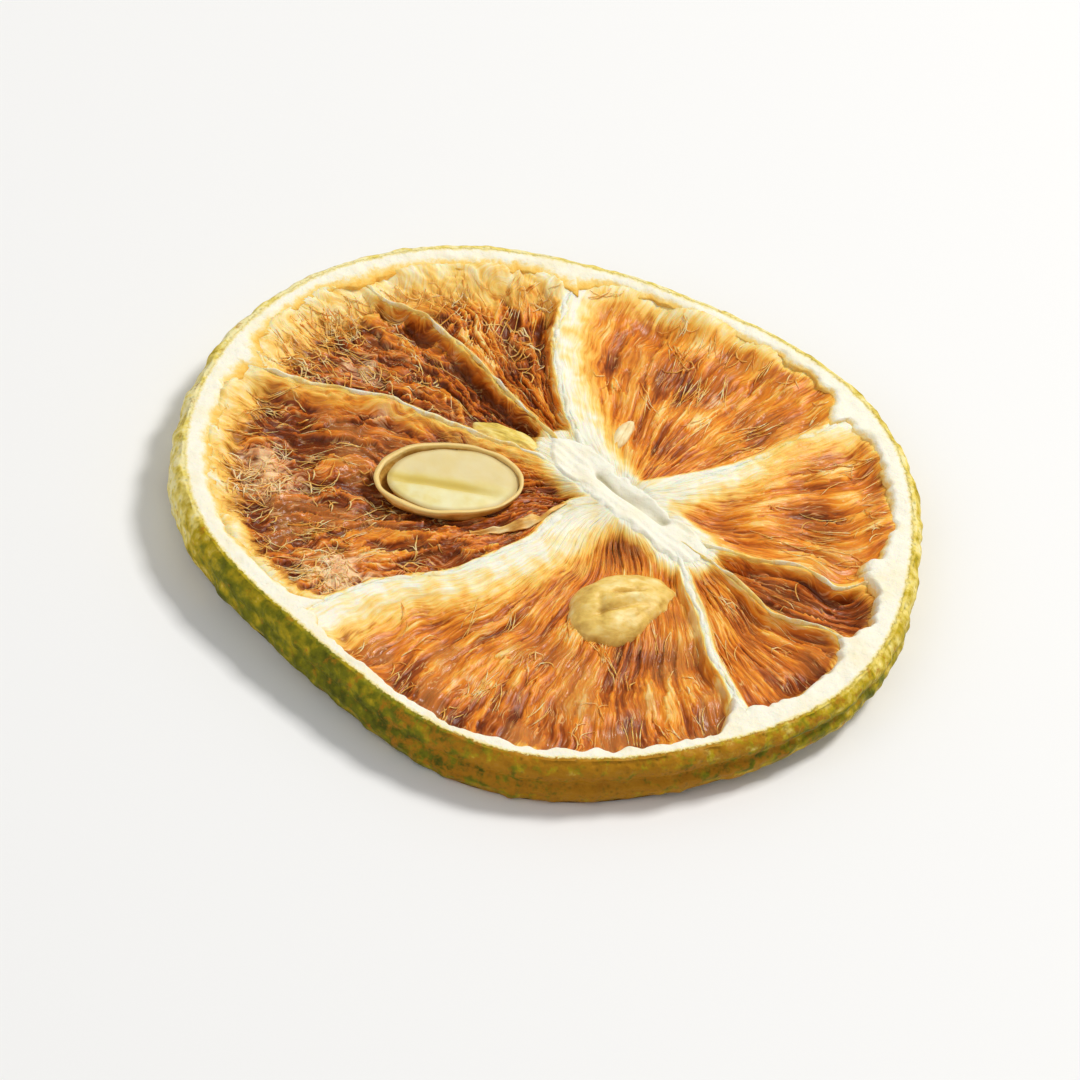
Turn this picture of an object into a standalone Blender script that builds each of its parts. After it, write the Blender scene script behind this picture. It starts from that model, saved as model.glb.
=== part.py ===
"""A dried lemon slice, cut straight across the fruit, with the seeds that sit in its upper face."""

import math

import bmesh
import bpy
import numpy as np
from mathutils import Matrix, Vector, noise

MM = 0.001  # sizes below are in millimetres, Blender's own unit is the metre

# Driving dimensions. A bearing is in degrees, anticlockwise from +X as seen from above.
FACE_RADIUS = 26.8  # mean radius of the cut face
RIM_THICKNESS = 4.1  # from one cut face to the other, at the rim
CORE = (5.3, 2.6)  # the fruit's core lies off the slice's centre
RIM_LOBES = (  # the rim isn't round: waves round it, their height, and the bearing of a crest
    (1, 0.95, 72),
    (2, 0.80, -23),
    (3, 0.58, 37),
    (4, 0.22, 26),
    (5, 0.42, -24),
    (6, 0.17, 29),
)

# The slice dried into three lobes, so it rests on three low spots of its rim.
LOW_BEARING = 35  # one low spot, with the others a third of a turn away
CURL = 1.2  # how far the underside lifts between the low spots
CURL_ON_TOP = 0.35  # share of that lift which the upper face follows
FLAT_SHARE = 0.06  # share of the curl's wave that is flat at each low spot

# The core is a ridge between two ends, given from the core's centre.
CORE_ENDS = ((-4.9, 3.7), (5.2, -3.6))
CORE_HALF_WIDTH = 2.0
CORE_FLANK = 1.7
HOLLOW_ENDS = ((-0.7, 2.6), (3.6, -1.2))  # the dried-out hollow beside the ridge
HOLLOW_HALF_WIDTH = 0.75
HOLLOW_DEPTH = 0.9


def wall(crest, flanks, *route):
    """A wall between two segments: half-width of its crest, how far it slopes out into the segment before
    it and the one after it, and its route as (share of the way from core to rim, bearing)."""
    return {"crest": crest, "flanks": flanks, "route": route}


WALLS = (
    wall(0.35, (1.1, 1.1), (0.22, -31), (0.40, -22), (0.62, -14), (0.76, -17), (0.92, -6)),
    wall(0.60, (3.2, 1.0), (0.17, 38), (0.45, 38), (0.62, 41), (0.95, 42)),
    wall(0.55, (3.4, 0.8), (0.18, 129), (0.38, 121), (0.65, 114), (0.95, 106)),
    wall(0.30, (0.9, 0.9), (0.24, 141), (0.60, 138.5), (0.76, 139), (0.84, 143), (0.97, 142)),
    wall(0.35, (0.9, 1.8), (0.18, 158), (0.35, 163), (0.60, 164), (0.75, 168), (0.90, 169)),
    wall(0.75, (1.0, 4.0), (0.14, 212), (0.27, 227), (0.52, 226), (0.70, 221), (0.90, 222)),
    wall(0.55, (0.9, 0.9), (0.22, 318), (0.36, 307), (0.63, 300), (0.90, 300)),
    wall(0.30, (0.9, 0.9), (0.22, 323), (0.45, 326), (0.60, 323), (0.80, 330), (0.92, 328)),
)

# The segment after each wall: width of the pith outside its pulp, how much more there is in its two
# corners, and how far the pulp has sunk below the cut face.
SEGMENTS = (
    {"pith": 1.9, "corners": (2.3, 0.9), "sink": 1.1},
    {"pith": 1.6, "corners": (2.6, 0.9), "sink": 1.1},
    {"pith": 2.2, "corners": (1.2, 0.4), "sink": 1.6},
    {"pith": 1.8, "corners": (0.8, 1.8), "sink": 1.6},
    {"pith": 2.3, "corners": (0.4, 2.0), "sink": 1.5},
    {"pith": 1.5, "corners": (0.8, 3.4), "sink": 1.2},
    {"pith": 2.5, "corners": (0.6, 1.0), "sink": 1.3},
    {"pith": 2.2, "corners": (1.4, 1.6), "sink": 1.4},
)
CORNER_REACH = 1.7  # how far a corner's pith runs along the rim
PITH_WAY = 0.9  # share of the way to the rim at which those distances are taken
CREST_DROP = 0.25  # the walls stand a little below the cut face
GRAIN = 0.32  # height of the pulp's radial ribs where they are widest
RIB_SPACING = 1.1  # from a rib to the furrow beside it, where they are widest
RIB_END = 0.84  # share of the radius where the ribs start to fade towards the pith
RIB_FADE = 0.12
LUMPS = 0.35  # height of the pulp's uneven lumps
CREST_LUMPS = 0.08
PITH_LUMPS = 0.06
BAND_LUMPS = 0.10
UNDER_SINK = 0.55  # the underside's pulp has sunk less
UNDER_CREST = 0.15
UNDER_RELIEF = 0.55  # and its relief is lower

# The peel's outer band.
BULGE = 0.30
EDGE_INSET = 0.30  # the rounding of the band's two edges
GROOVE = 0.45  # the fold half way up the band, deepest at one bearing
GROOVE_BEARING = 300

# Mesh of the slice.
COLUMNS = 108  # round the rim
PULP_EDGE = 0.90  # share of the puck's radius that becomes pulp
CORE_RINGS = (0, 0.03, 0.06, 0.09, 0.12, 0.16, 0.21, 0.27)  # closer together, for the core's relief
PULP_RINGS = (0.34, 0.42, 0.50, 0.58, 0.66, 0.74, 0.81, 0.86, PULP_EDGE)
UNDER_RINGS = (0, 0.06, 0.12, 0.20, 0.30, 0.42, 0.54, 0.66, 0.78, 0.86, PULP_EDGE)
PITH_RINGS = (0.915, 0.95, 0.98, 1)
BAND_LEVELS = (0.75, 0.40, 0.05, -0.30, -0.70)
WALL_FOOT = 0.8  # distance from a wall's crest to the next column

# Seeds: place on the slice, full size, and the bearing of the long axis.
SEED_GAP = 0.3  # clear space that drying left round each seed
CUT_SEED = {"at": (-7.1, 0.7, 3.85), "size": (11.0, 7.2, 4.6), "turn": 18}
COAT_THICKNESS = 0.5
KERNEL = {"size": (9.2, 5.6, 2.8), "crown": 0.14, "crease": 0.25}
WHOLE_SEED = {"at": (6.5, -8.8, 2.75), "size": (8.2, 6.4, 2.9), "turn": 28, "lumps": 0.45}
FLAT_SEED = {"at": (-3.9, 6.7, 3.2), "size": (5.6, 1.9, 1.1), "turn": -14, "lumps": 0.15}
SEED_CHIP = {"at": (4.5, 9.5, 3.35), "size": (3.4, 1.3, 0.8), "turn": 76, "lumps": 0.08}

COLOURS = {  # base colour and roughness
    "lemon_slice": ((0.55, 0.22, 0.05), 0.55),
    "cut_seed_coat": ((0.62, 0.42, 0.18), 0.60),
    "cut_seed_kernel": ((0.72, 0.66, 0.40), 0.50),
    "whole_seed": ((0.78, 0.58, 0.18), 0.55),
    "flat_seed": ((0.72, 0.55, 0.16), 0.55),
    "seed_chip": ((0.85, 0.68, 0.40), 0.55),
}


def clear_scene():
    for item in list(bpy.data.objects):
        bpy.data.objects.remove(item, do_unlink=True)


def add_collection(name):
    collection = bpy.data.collections.new(name)
    bpy.context.scene.collection.children.link(collection)
    return collection


def add_object(name, mesh, collection):
    item = bpy.data.objects.new(name, mesh)
    collection.objects.link(item)
    return item


def add_material(item):
    colour, roughness = COLOURS[item.name]
    material = bpy.data.materials.new(item.name)
    material.use_nodes = True
    shader = material.node_tree.nodes["Principled BSDF"]
    shader.inputs["Base Color"].default_value = (*colour, 1)
    shader.inputs["Roughness"].default_value = roughness
    shader.inputs["Metallic"].default_value = 0
    material.diffuse_color = (*colour, 1)
    item.data.materials.append(material)


def rim_radius(bearing):
    """Radius of the cut face about the slice's centre."""
    lobes = (height * np.cos(count * (bearing - math.radians(crest))) for count, height, crest in RIM_LOBES)
    return FACE_RADIUS + sum(lobes)


def reach(bearing):
    """Distance from the core to the rim along a bearing."""
    distance = np.full_like(bearing, FACE_RADIUS)
    for _ in range(8):
        x = CORE[0] + distance * np.cos(bearing)
        y = CORE[1] + distance * np.sin(bearing)
        distance *= rim_radius(np.arctan2(y, x)) / np.hypot(x, y)
    return distance


def crest_bearing(index, way):
    """Bearing of a wall's crest, part of the way from core to rim."""
    turns, index = divmod(index, len(WALLS))
    ways, bearings = zip(*WALLS[index]["route"])
    return np.radians(np.interp(way, ways, bearings) + 360 * turns)


def spread_columns():
    """Rows of (segment, step across it, steps in it), shared out by each segment's width at the rim."""
    rows = []
    for segment in range(len(SEGMENTS)):
        width = crest_bearing(segment + 1, 1.0) - crest_bearing(segment, 1.0)
        steps = max(8, 2 * round(COLUMNS * width / (4 * math.pi)))
        rows += [(segment, step, steps) for step in range(steps)]
    return np.array(rows)


def across(step, steps, gap):
    """Distance of each column from the wall before its segment, where the segment is this wide."""
    foot = np.minimum(WALL_FOOT, 0.3 * gap)
    inner = foot + (gap - 2 * foot) * (step - 1) / (steps - 2)
    return np.where(step == 0, 0, inner)


def per_segment(segment, values):
    return np.array(values)[segment]


def walls_of(segment, way):
    """Bearings of the crests before and after each segment."""
    start = np.zeros_like(way)
    end = np.zeros_like(way)
    for index in range(len(SEGMENTS)):
        here = segment == index
        start[here] = crest_bearing(index, way[here])
        end[here] = crest_bearing(index + 1, way[here])
    return start, end


def pulp_share(segment, step, steps):
    """Share of the way from core to rim at which each column leaves the pulp."""
    way = np.full(len(segment), PITH_WAY)
    start, end = walls_of(segment, way)
    gap = PITH_WAY * reach((start + end) / 2) * (end - start)
    before = across(step, steps, gap)
    bearing = start + (end - start) * before / gap
    width = per_segment(segment, [item["pith"] for item in SEGMENTS])
    for side, lateral in enumerate((before, gap - before)):
        corner = per_segment(segment, [item["corners"][side] for item in SEGMENTS])
        width = width + corner * np.exp(-((lateral / CORNER_REACH) ** 2))
    return 1 - width / reach(bearing)


def spots(share, segment, step, steps):
    """Where each vertex of the puck belongs on the slice, and how far it is from the walls beside it."""
    edge = pulp_share(segment, step, steps)
    outside = edge + (share - PULP_EDGE) / (1 - PULP_EDGE) * (1 - edge)
    way = np.where(share <= PULP_EDGE, share / PULP_EDGE * edge, outside)
    start, end = walls_of(segment, way)
    middle = np.maximum(way, 0.02) * reach((start + end) / 2)
    gap = middle * (end - start)
    before = across(step, steps, gap)
    bearing = start + (end - start) * before / gap
    radius = way * reach(bearing)
    return {
        "x": CORE[0] + radius * np.cos(bearing),
        "y": CORE[1] + radius * np.sin(bearing),
        "share": share,
        "segment": segment,
        "rib": np.where(step % 2 == 0, 1, -1) * np.clip(gap / steps / RIB_SPACING, 0, 1),
        "before": before,
        "after": gap - before,
    }


def line_distance(spot, ends):
    """Distance from a line whose ends are given from the core's centre."""
    first, last = np.array(ends) + np.array(CORE)
    along = last - first
    offset = np.stack([spot["x"] - first[0], spot["y"] - first[1]], axis=1)
    part = np.clip(offset @ along / (along @ along), 0, 1)
    return np.hypot(*(offset - part[:, None] * along).T)


def slope(distance, flat, flank):
    """1 on a crest, falling smoothly to 0 at the foot of its flank."""
    return 0.5 + 0.5 * np.cos(np.pi * np.clip((distance - flat) / flank, 0, 1))


def ridges(spot):
    """How far each vertex belongs to a wall or to the core, from 0 in the pulp to 1 on a crest."""
    segment = spot["segment"]
    following = (segment + 1) % len(WALLS)
    crests = [item["crest"] for item in WALLS]
    flank_behind = per_segment(segment, [item["flanks"][1] for item in WALLS])
    flank_ahead = per_segment(following, [item["flanks"][0] for item in WALLS])
    behind = slope(spot["before"], per_segment(segment, crests), flank_behind)
    ahead = slope(spot["after"], per_segment(following, crests), flank_ahead)
    core = slope(line_distance(spot, CORE_ENDS), CORE_HALF_WIDTH, CORE_FLANK)
    return np.maximum(core, np.maximum(behind, ahead))


def lumps(spot, size, seed):
    """Uneven lumps of the given size, between about -1 and 1."""
    points = zip(spot["x"] / size, spot["y"] / size)
    return np.array([2 * noise.noise(Vector((x, y, seed))) for x, y in points])


def ribs(spot, seed):
    """Radial ribs, one for each row of juice sacs, that swell and fade along their length."""
    swell = 1 + 0.5 * lumps(spot, 2.5, seed + 40)
    return GRAIN * spot["rib"] * swell * slope(spot["share"], RIB_END, RIB_FADE)


def curl(spot):
    """How far the slice's underside has lifted, from 0 at the low spots."""
    bearing = np.arctan2(spot["y"], spot["x"])
    wave = 0.5 - 0.5 * np.cos(3 * (bearing - math.radians(LOW_BEARING)))
    radius = np.hypot(spot["x"], spot["y"])
    return CURL * np.clip(wave - FLAT_SHARE, 0, 1) * (radius / FACE_RADIUS) ** 2


def pith_rise(spot):
    return np.clip((spot["share"] - PULP_EDGE) / (PITH_RINGS[0] - PULP_EDGE), 0, 1)


def upper_surface(spot):
    """Height of the cut face, with its pulp sunk between the walls and the pith."""
    face = RIM_THICKNESS + CURL_ON_TOP * curl(spot)
    ridge = ridges(spot)
    sink = per_segment(spot["segment"], [item["sink"] for item in SEGMENTS])
    sink = sink * (0.7 + 0.3 * spot["share"] / PULP_EDGE)
    pulp = sink - ribs(spot, 2.0) - LUMPS * lumps(spot, 3.5, 2.0)
    hollow = HOLLOW_DEPTH * np.exp(-((line_distance(spot, HOLLOW_ENDS) / HOLLOW_HALF_WIDTH) ** 2))
    crest = CREST_DROP + CREST_LUMPS * lumps(spot, 2.0, 5.0)
    drop = pulp + (crest - pulp) * ridge + hollow
    pith = PITH_LUMPS * lumps(spot, 4.0, 8.0)
    return face - drop - (pith - drop) * pith_rise(spot)


def under_surface(spot):
    """Height of the lower face: the same walls, pith and pulp, with the pith on the resting plane."""
    ridge = ridges(spot)
    pulp = UNDER_SINK - UNDER_RELIEF * (ribs(spot, 21.0) + LUMPS * lumps(spot, 3.5, 21.0))
    rise = pulp + (UNDER_CREST - pulp) * ridge
    return curl(spot) + rise * (1 - pith_rise(spot))


def band_offset(spot, level):
    """How far the peel's band stands out from the cut face's outline."""
    bearing = np.arctan2(spot["y"], spot["x"])
    near = 0.5 + 0.5 * np.cos(bearing - math.radians(GROOVE_BEARING))
    fold = GROOVE * near**3 * np.exp(-(((level - 0.05) / 0.22) ** 2))
    edge = EDGE_INSET * np.abs(level) ** 6
    outwards = BULGE * (1 - level**2) - edge - fold + BAND_LUMPS * lumps(spot, 3.0, 30.0)
    return np.where(spot["share"] > 0.999, outwards, 0)


def turned_puck(columns, collection):
    """A plain puck turned from its profile. Its rings and columns are what the slice is shaped from."""
    top = [(share, 1) for share in CORE_RINGS + PULP_RINGS + PITH_RINGS]
    band = [(1, level) for level in BAND_LEVELS]
    under = [(share, -1) for share in reversed(UNDER_RINGS + PITH_RINGS)]
    profile = top + band + under
    points = [(FACE_RADIUS * share * MM, 0, RIM_THICKNESS / 2 * level * MM) for share, level in profile]
    mesh = bpy.data.meshes.new("puck")
    mesh.from_pydata(points, [(index, index + 1) for index in range(len(points) - 1)], [])
    puck = add_object("puck", mesh, collection)
    turn = puck.modifiers.new("turn", "SCREW")
    turn.steps = columns
    turn.render_steps = columns
    turn.use_merge_vertices = True
    turn.merge_threshold = 1e-6
    bpy.context.view_layer.update()
    turned = bpy.data.meshes.new_from_object(puck.evaluated_get(bpy.context.evaluated_depsgraph_get()))
    bpy.data.objects.remove(puck)
    return turned


def shape_slice(mesh, rows):
    """Moves each vertex of the puck to its place on the slice."""
    flat = np.empty(3 * len(mesh.vertices))
    mesh.vertices.foreach_get("co", flat)
    puck = flat.reshape(-1, 3) / MM
    share = np.round(np.hypot(puck[:, 0], puck[:, 1]) / FACE_RADIUS, 4)
    level = puck[:, 2] / (RIM_THICKNESS / 2)
    turn = np.arctan2(puck[:, 1], puck[:, 0]) / (2 * math.pi)
    column = np.rint(turn * len(rows)).astype(int) % len(rows)
    spot = spots(share, *rows[column].T)
    bearing = np.arctan2(spot["y"], spot["x"])
    outwards = band_offset(spot, level)
    top = upper_surface(spot)
    under = under_surface(spot)
    x = spot["x"] + outwards * np.cos(bearing)
    y = spot["y"] + outwards * np.sin(bearing)
    z = under + (top - under) * (level + 1) / 2
    mesh.vertices.foreach_set("co", (np.stack([x, y, z], axis=1) * MM).ravel())


def make_slice(collection, cutters):
    rows = spread_columns()
    mesh = turned_puck(len(rows), collection)
    mesh.name = "lemon_slice"
    shape_slice(mesh, rows)
    cage = bmesh.new()
    cage.from_mesh(mesh)
    bmesh.ops.triangulate(cage, faces=cage.faces, quad_method="SHORT_EDGE")
    cage.to_mesh(mesh)
    cage.free()
    mesh.shade_smooth()
    item = add_object("lemon_slice", mesh, collection)
    for cutter in cutters:
        pocket = item.modifiers.new(cutter.name, "BOOLEAN")
        pocket.operation = "DIFFERENCE"
        pocket.solver = "EXACT"
        pocket.object = cutter
    return item


def place_seed(mesh, spec):
    turn = Matrix.Rotation(math.radians(spec["turn"]), 4, "Z")
    mesh.transform(Matrix.Translation(Vector(spec["at"]) * MM) @ turn)


def seed_mesh(name, spec, grow=0.0, sides=24, rings=12):
    """A seed as an ellipsoid with wrinkled lumps. A pocket for it is the same shape, grown all round."""
    ball = bmesh.new()
    bmesh.ops.create_uvsphere(ball, u_segments=sides, v_segments=rings, radius=0.5)
    size = Vector(spec["size"])
    for vertex in ball.verts:
        direction = vertex.co.normalized()
        wrinkle = noise.noise(Vector((2.4 * direction.x, 3.4 * direction.y, 1.7 * direction.z + size.x)))
        half = size * 0.5 + Vector((grow, grow, grow))
        vertex.co = direction * half * MM + direction * wrinkle * spec.get("lumps", 0) * MM
    mesh = bpy.data.meshes.new(name)
    ball.to_mesh(mesh)
    ball.free()
    place_seed(mesh, spec)
    mesh.shade_smooth()
    return mesh


def make_seed(name, spec, collection, sides, rings):
    return add_object(name, seed_mesh(name, spec, 0, sides, rings), collection)


def make_pocket(name, spec, cutters):
    pocket = add_object(name, seed_mesh(name, spec, SEED_GAP), cutters)
    pocket.hide_render = True
    pocket.display_type = "WIRE"
    return pocket


def make_cut_coat(collection):
    """The lower half of the seed's coat, as an open shell with a wall."""
    bowl = bmesh.new()
    bmesh.ops.create_uvsphere(bowl, u_segments=28, v_segments=12, radius=0.5)
    bmesh.ops.delete(bowl, geom=[vertex for vertex in bowl.verts if vertex.co.z > 0.01], context="VERTS")
    bmesh.ops.scale(bowl, verts=bowl.verts, vec=Vector(CUT_SEED["size"]) * MM)
    mesh = bpy.data.meshes.new("cut_seed_coat")
    bowl.to_mesh(mesh)
    bowl.free()
    place_seed(mesh, CUT_SEED)
    mesh.shade_smooth()
    item = add_object("cut_seed_coat", mesh, collection)
    wall = item.modifiers.new("wall", "SOLIDIFY")
    wall.thickness = COAT_THICKNESS * MM
    wall.offset = -1
    wall.use_even_offset = True
    return item


def make_kernel(collection):
    """The halved kernel: a low crown on its cut face, with a crease along the middle."""
    ball = bmesh.new()
    bmesh.ops.create_uvsphere(ball, u_segments=24, v_segments=10, radius=0.5)
    size = Vector(KERNEL["size"])
    for vertex in ball.verts:
        vertex.co *= size
        if vertex.co.z > 0:
            crease = math.exp(-((vertex.co.y / 0.5) ** 2)) * min(1, vertex.co.z)
            vertex.co.z = vertex.co.z * KERNEL["crown"] * 2 - KERNEL["crease"] * crease
        vertex.co *= MM
    mesh = bpy.data.meshes.new("cut_seed_kernel")
    ball.to_mesh(mesh)
    ball.free()
    place_seed(mesh, CUT_SEED)
    mesh.transform(Matrix.Translation((0, 0, -0.25 * MM)))
    mesh.shade_smooth()
    return add_object("cut_seed_kernel", mesh, collection)


def main():
    clear_scene()
    slice_parts = add_collection("dried_lemon_slice")
    cutters = add_collection("seed_pockets")
    pockets = [
        make_pocket("cut_seed_pocket", CUT_SEED, cutters),
        make_pocket("whole_seed_pocket", WHOLE_SEED, cutters),
        make_pocket("flat_seed_pocket", FLAT_SEED, cutters),
        make_pocket("seed_chip_pocket", SEED_CHIP, cutters),
    ]
    make_slice(slice_parts, pockets)
    make_cut_coat(slice_parts)
    make_kernel(slice_parts)
    make_seed("whole_seed", WHOLE_SEED, slice_parts, 24, 14)
    make_seed("flat_seed", FLAT_SEED, slice_parts, 16, 8)
    make_seed("seed_chip", SEED_CHIP, slice_parts, 12, 6)
    for item in slice_parts.objects:
        add_material(item)


main()
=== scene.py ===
import math

import bmesh
import bpy
import numpy as np
from mathutils import Matrix, Vector, noise
from mathutils.bvhtree import BVHTree


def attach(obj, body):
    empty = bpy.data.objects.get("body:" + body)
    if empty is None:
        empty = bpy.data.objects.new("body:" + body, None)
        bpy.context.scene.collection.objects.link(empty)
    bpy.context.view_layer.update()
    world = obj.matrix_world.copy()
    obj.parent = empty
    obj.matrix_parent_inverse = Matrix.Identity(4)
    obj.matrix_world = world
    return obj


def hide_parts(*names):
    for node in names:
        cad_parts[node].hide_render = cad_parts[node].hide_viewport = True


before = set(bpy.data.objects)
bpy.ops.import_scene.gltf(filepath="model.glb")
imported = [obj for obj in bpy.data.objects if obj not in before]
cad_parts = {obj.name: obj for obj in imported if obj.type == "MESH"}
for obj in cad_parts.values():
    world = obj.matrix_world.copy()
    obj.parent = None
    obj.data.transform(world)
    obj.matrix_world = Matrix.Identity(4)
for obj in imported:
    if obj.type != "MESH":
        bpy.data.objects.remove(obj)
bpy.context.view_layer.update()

mm = 0.001  # sizes are in millimetres until a mesh is filled

# The slice lies flat, so the camera looks down on it as the photograph looks at its face.
cameraSetup = {
    "aim": (-0.1, -1.1, 1.4),
    "elevation": 43,
    "roll": 12,
    "distance": 650,
    "frameWidth": 78,
}


def placeCamera():
    data = bpy.data.cameras.new("camera")
    data.sensor_width = 36
    data.lens = data.sensor_width * cameraSetup["distance"] / cameraSetup["frameWidth"]
    camera = bpy.data.objects.new("camera", data)
    bpy.context.scene.collection.objects.link(camera)
    lift = math.radians(cameraSetup["elevation"])
    back = Vector((0, -math.cos(lift), math.sin(lift)))
    place = (Vector(cameraSetup["aim"]) + back * cameraSetup["distance"]) * mm
    roll = Matrix.Rotation(math.radians(cameraSetup["roll"]), 4, "Z")
    tilt = Matrix.Rotation(math.pi / 2 - lift, 4, "X")
    camera.matrix_world = Matrix.Translation(place) @ tilt @ roll
    bpy.context.scene.camera = camera


placeCamera()

# The form of the slice. Bearings are in degrees, anticlockwise from +X.
sliceForm = {
    "faceRadius": 26.8,
    "rimThickness": 4.1,
    "core": (5.3, 2.6),  # it lies off the slice's centre
    "lobes": (  # waves round the rim, their height, and the bearing of a crest
        (1, 0.95, 72),
        (2, 0.80, -23),
        (3, 0.58, 37),
        (4, 0.22, 26),
        (5, 0.42, -24),
        (6, 0.17, 29),
    ),
    "lowBearing": 35,
    "curl": 1.2,
    "curlOnTop": 0.35,
    "flatShare": 0.06,
    "crestDrop": 0.25,
    "underSink": 0.55,
    "underCrest": 0.15,
    "underRelief": 0.55,
}

coreForm = {
    "ends": ((-4.9, 3.7), (5.0, -3.9)),  # from the core's centre
    "halfWidth": 1.65,
    "flank": 1.7,
    "hollowEnds": ((-2.0, 1.9), (3.0, -1.4)),
    "hollowHalfWidth": 0.55,
    "hollowDepth": 0.6,
    "sideDepth": 2.0,
    "streak": 0.07,
}


# Of each wall: its crest's half width, how far its flanks and its pale reach into the segments before and
# after it, how white it dried, and its route as shares of the way to the rim with their bearings.
wallValues = ("name", "crest", "flanks", "pale", "bleach", "route")
wallRows = (
    ("right_low", 0.17, (0.6, 0.9), (0.4, 0.9), 0.6,
     ((0.22, -31), (0.40, -22), (0.62, -14), (0.76, -17), (0.92, -6))),
    ("right_high", 0.35, (3.2, 0.6), (4.2, 0.5), 1.0,
     ((0.17, 38), (0.45, 38), (0.62, 41), (0.95, 42))),
    ("top", 0.35, (3.2, 0.6), (3.9, 0.5), 1.0,
     ((0.18, 129), (0.38, 122.5), (0.65, 115.3), (0.95, 106))),
    ("kinked", 0.16, (0.6, 0.6), (0.5, 0.6), 0.5,
     ((0.24, 141), (0.60, 138.5), (0.76, 139), (0.84, 143), (0.97, 142))),
    ("left_high", 0.20, (0.6, 1.8), (0.4, 2.2), 0.6,
     ((0.18, 158), (0.35, 163), (0.60, 164), (0.75, 168), (0.90, 169))),
    ("left_low", 0.40, (0.6, 4.0), (0.5, 6.2), 1.0,
     ((0.14, 212), (0.27, 227), (0.52, 226), (0.70, 221), (0.90, 222))),
    ("front", 0.34, (0.6, 0.7), (0.5, 0.7), 1.0,
     ((0.22, 318), (0.36, 307), (0.63, 300), (0.90, 300))),
    ("front_right", 0.16, (0.6, 0.6), (0.4, 0.5), 0.5,
     ((0.22, 323), (0.45, 326), (0.60, 323), (0.80, 330), (0.92, 328))),
)
walls = [dict(zip(wallValues, row)) for row in wallRows]
wallFade = {"right_high": 0.35, "top": 0.12, "left_low": 0.12}  # how much less white a wall is halfway


# Of the segment after each wall: how wide the pith is and what it adds in the two corners, how deep the pulp
# sank and how much of that it makes up towards the pith, how pale it dried, how unruly its strands are, how
# far the pith frays into it at its start and end, and how glassy it dried.
segmentValues = ("name", "pith", "corners", "sink", "rise", "tone", "tangle", "fringe", "film")
segmentRows = (
    ("right", 1.9, (2.3, 0.9), 1.1, 0.6, 0.67, 0.10, (0.3, 0.5), 0.5),
    ("high_right", 1.6, (2.6, 0.9), 1.1, 0.9, 0.65, 0.12, (0.3, 1.7), 0.5),
    ("top", 2.2, (1.2, 0.4), 1.5, 1.0, 0.57, 0.8, (2.2, 2.6), 0.3),
    ("high_left", 1.8, (0.8, 1.8), 1.5, 1.0, 0.34, 0.9, (2.8, 2.4), 0.3),
    ("left", 2.3, (0.4, 2.0), 1.4, 0.8, 0.36, 0.65, (1.9, 0.9), 0.8),
    ("front", 1.5, (0.8, 3.4), 1.2, 0.1, 0.63, 0.15, (0.5, 0.4), 0.9),
    ("low_right", 2.5, (0.6, 1.0), 1.3, 0.1, 0.48, 0.12, (0.3, 0.3), 0.4),
    ("small", 2.2, (1.4, 1.6), 1.4, 0.1, 0.44, 0.3, (0.3, 0.3), 0.4),
)
segments = [dict(zip(segmentValues, row)) for row in segmentRows]
# pale froth that dried on the pulp: its middle, its reach and how thick it lies
froth = (
    (-20.4, -2.0, 2.6, 0.9), (-13.6, -11.0, 2.5, 1.0), (-15.4, 11.7, 2.0, 0.45),
    (-13.2, 7.0, 1.1, 0.7), (0.6, 9.2, 0.8, 0.7), (22.8, 11.8, 0.9, 0.6),
    (24.0, 5.2, 0.8, 0.5), (10.2, 15.6, 1.2, 0.4), (-3.4, -18.6, 1.6, 0.4),
)
# darker, glassier places of the pulp, written in the same way; the first is also painted shade, in the recess
# between the core and the whole seed
stainsAndShade = (
    (6.2, -2.6, 1.5, 0.9), (10.6, -7.6, 1.6, 0.8), (11.6, -12.5, 2.2, 0.6),
    (-12.5, 3.0, 3.0, 0.4), (18.0, 12.0, 2.5, 0.25), (17.2, -3.6, 1.6, 0.4),
)
cornerReach = 1.7
pithWay = 0.9


def lumps(x, y, size, seed, z=0.0):
    depths = np.broadcast_to(z / size + seed, x.shape)
    points = zip((x / size).tolist(), (y / size).tolist(), depths.tolist())
    return 2 * np.fromiter((noise.noise(point) for point in points), float, len(x))


def cells(x, y, seed):
    # distance to the nearest cell centre, how much further the next one is, and a value for the cell
    rows = []
    for a, b in zip(x.tolist(), y.tolist()):
        distances, centres = noise.voronoi((a, b, seed))
        rows.append((distances[0], distances[1] - distances[0], noise.cell(centres[0] * 7.3)))
    return np.array(rows).T


def smoothStep(value, low, high):
    t = np.clip((value - low) / (high - low), 0, 1)
    return t * t * (3 - 2 * t)


def bell(distance, width):
    return np.exp(-((distance / width) ** 2))


def slope(distance, flat, flank):
    return 0.5 + 0.5 * np.cos(np.pi * np.clip((distance - flat) / flank, 0, 1))


def rimRadius(bearing):
    waves = (high * np.cos(count * (bearing - math.radians(at))) for count, high, at in sliceForm["lobes"])
    return sliceForm["faceRadius"] + sum(waves)


def fromCore(radius, bearing):
    return sliceForm["core"][0] + radius * np.cos(bearing), sliceForm["core"][1] + radius * np.sin(bearing)


def byBearing(table, bearing):
    return np.interp(bearing, *table, period=2 * np.pi)


def makeReach():
    bearing = np.linspace(0, 2 * np.pi, 1440, endpoint=False)
    distance = np.full_like(bearing, sliceForm["faceRadius"])
    for _ in range(12):
        x, y = fromCore(distance, bearing)
        distance *= rimRadius(np.arctan2(y, x)) / np.hypot(x, y)
    return bearing, distance


reachTable = makeReach()


def reach(bearing):
    # from the core to the rim
    return byBearing(reachTable, bearing)


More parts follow.
